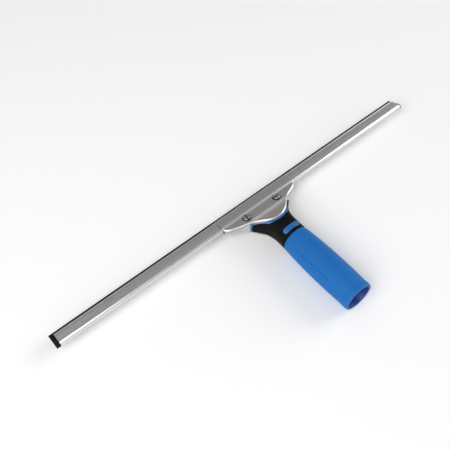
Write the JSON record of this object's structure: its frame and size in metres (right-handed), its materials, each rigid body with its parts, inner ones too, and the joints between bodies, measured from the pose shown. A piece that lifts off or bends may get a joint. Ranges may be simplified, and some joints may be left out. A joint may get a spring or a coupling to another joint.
{
  "type": "window squeegee",
  "caption": "Window squeegee: a long steel channel with a rubber blade, held by a screwed clamp head on a soft-grip handle whose open end is a pole socket.",
  "frame": {"origin": "middle of the pole socket's mouth, on the handle's axis", "axes": "+Y along the handle from the socket's mouth to the blade, +X along the blade, +Z out of the side with the screw heads"},
  "size_m": [0.455, 0.1575, 0.033],
  "materials": {
    "blade_rubber": "smooth black rubber",
    "channel_steel": "bright stainless sheet, fine brushed grain along its length",
    "clip_plastic": "black moulded plastic",
    "plate_steel": "tumbled stainless sheet with bright edges",
    "screw_steel": "turned stainless steel",
    "nylon": "natural nylon",
    "core_plastic": "blue moulded plastic",
    "tube_plastic": "dark blue moulded plastic",
    "grip_rubber": "soft blue overmould, fine matt texture",
    "neck_rubber": "soft black overmould, fine matt texture",
    "inlay_plastic": "blue moulded plastic"
  },
  "bodies": {
    "handle": {"rear_clamp_plate": "plate_steel", "clinch_nut_left": "screw_steel", "clinch_nut_right": "screw_steel", "plate_rivets": "screw_steel", "head_core": "core_plastic", "neck_skin": "neck_rubber", "handle_tube": "tube_plastic", "grip_sleeve": "grip_rubber", "neck_inlay": "inlay_plastic"},
    "front_plate": {"front_clamp_plate": "plate_steel"},
    "screw_left": {"clamp_screw_left": "screw_steel", "screw_retainer_left": "nylon"},
    "screw_right": {"clamp_screw_right": "screw_steel", "screw_retainer_right": "nylon"},
    "channel": {"blade_channel": "channel_steel"},
    "rubber": {"rubber_blade": "blade_rubber"},
    "clip_left": {"end_clip_left": "clip_plastic"},
    "clip_right": {"end_clip_right": "clip_plastic"}
  },
  "joints": [
    {"name": "plate_lift", "type": "slide", "parent": "handle", "child": "front_plate", "axis": [0, 0.2419, 0.9703], "range_m": [0, 0.0016]},
    {"name": "screw_left_turn", "type": "hinge", "parent": "front_plate", "child": "screw_left", "pos_m": [-0.02, 0.13508, -0.00186], "axis": [0, 0.2419, 0.9703], "range_deg": [0, 720]},
    {"name": "screw_right_turn", "type": "hinge", "parent": "front_plate", "child": "screw_right", "pos_m": [0.02, 0.13508, -0.00186], "axis": [0, 0.2419, 0.9703], "range_deg": [0, 720]},
    {"name": "channel_slide", "type": "slide", "parent": "handle", "child": "channel", "axis": [1, 0, 0], "range_m": [-0.166, 0.188]},
    {"name": "rubber_slide", "type": "slide", "parent": "channel", "child": "rubber", "axis": [1, 0, 0], "range_m": [-0.4, 0.4]},
    {"name": "left_clip_pull", "type": "slide", "parent": "channel", "child": "clip_left", "axis": [-1, 0, 0], "range_m": [0, 0.012]},
    {"name": "right_clip_pull", "type": "slide", "parent": "channel", "child": "clip_right", "axis": [1, 0, 0], "range_m": [0, 0.016]}
  ],
  "couplings": [
    {"joint": "screw_left_turn", "follows": "plate_lift", "rad_per_m": 7854},
    {"joint": "screw_right_turn", "follows": "plate_lift", "rad_per_m": 7854}
  ]
}
